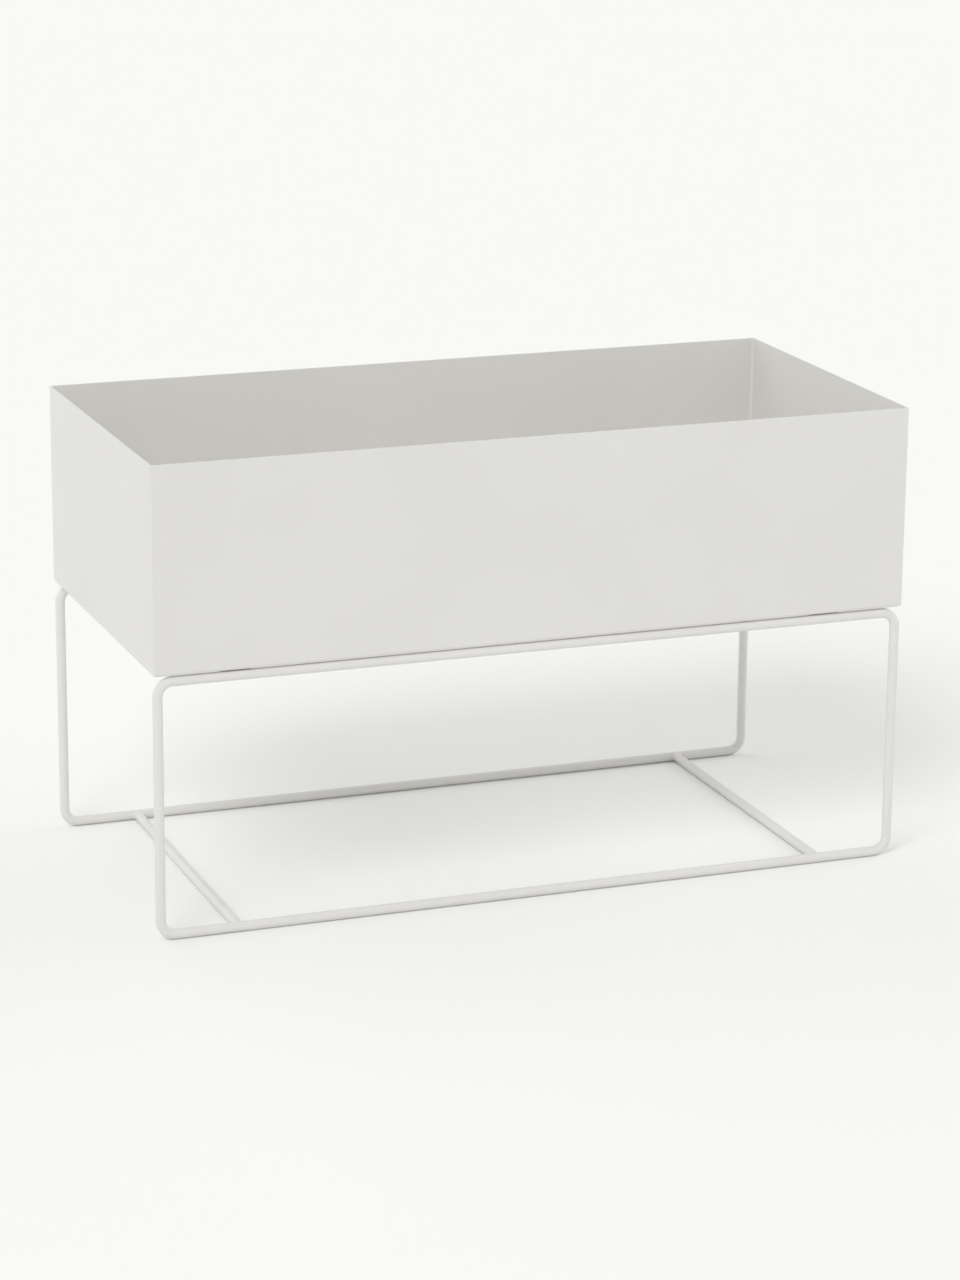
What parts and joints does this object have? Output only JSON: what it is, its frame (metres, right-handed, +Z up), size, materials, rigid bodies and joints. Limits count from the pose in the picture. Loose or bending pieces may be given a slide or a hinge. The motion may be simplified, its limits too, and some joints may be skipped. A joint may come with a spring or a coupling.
{
  "type": "raised planter",
  "caption": "Long rectangular sheet-steel planter box, open at the top, raised on two closed loops of round rod that are tied by low crossbars.",
  "frame": {"origin": "on the floor, under the middle of the planter's footprint", "axes": "+X along the planter to its right end, +Y to its back, +Z up"},
  "size_m": [0.8, 0.38, 0.48],
  "materials": {
    "powder_coat": "matt off-white powder coat with a fine texture",
    "zinc_plate": "bright zinc plate"
  },
  "bodies": {
    "root": {"tub": "powder_coat", "front_leg_loop": "powder_coat", "rear_leg_loop": "powder_coat", "left_crossbar": "powder_coat", "right_crossbar": "powder_coat", "mounting_tab_front_left": "powder_coat", "mounting_tab_front_right": "powder_coat", "mounting_tab_rear_left": "powder_coat", "mounting_tab_rear_right": "powder_coat", "stud_front_left": "zinc_plate", "stud_front_right": "zinc_plate", "stud_rear_left": "zinc_plate", "stud_rear_right": "zinc_plate", "washer_front_left": "zinc_plate", "washer_front_right": "zinc_plate", "washer_rear_left": "zinc_plate", "washer_rear_right": "zinc_plate", "nut_front_left": "zinc_plate", "nut_front_right": "zinc_plate", "nut_rear_left": "zinc_plate", "nut_rear_right": "zinc_plate"}
  },
  "joints": []
}
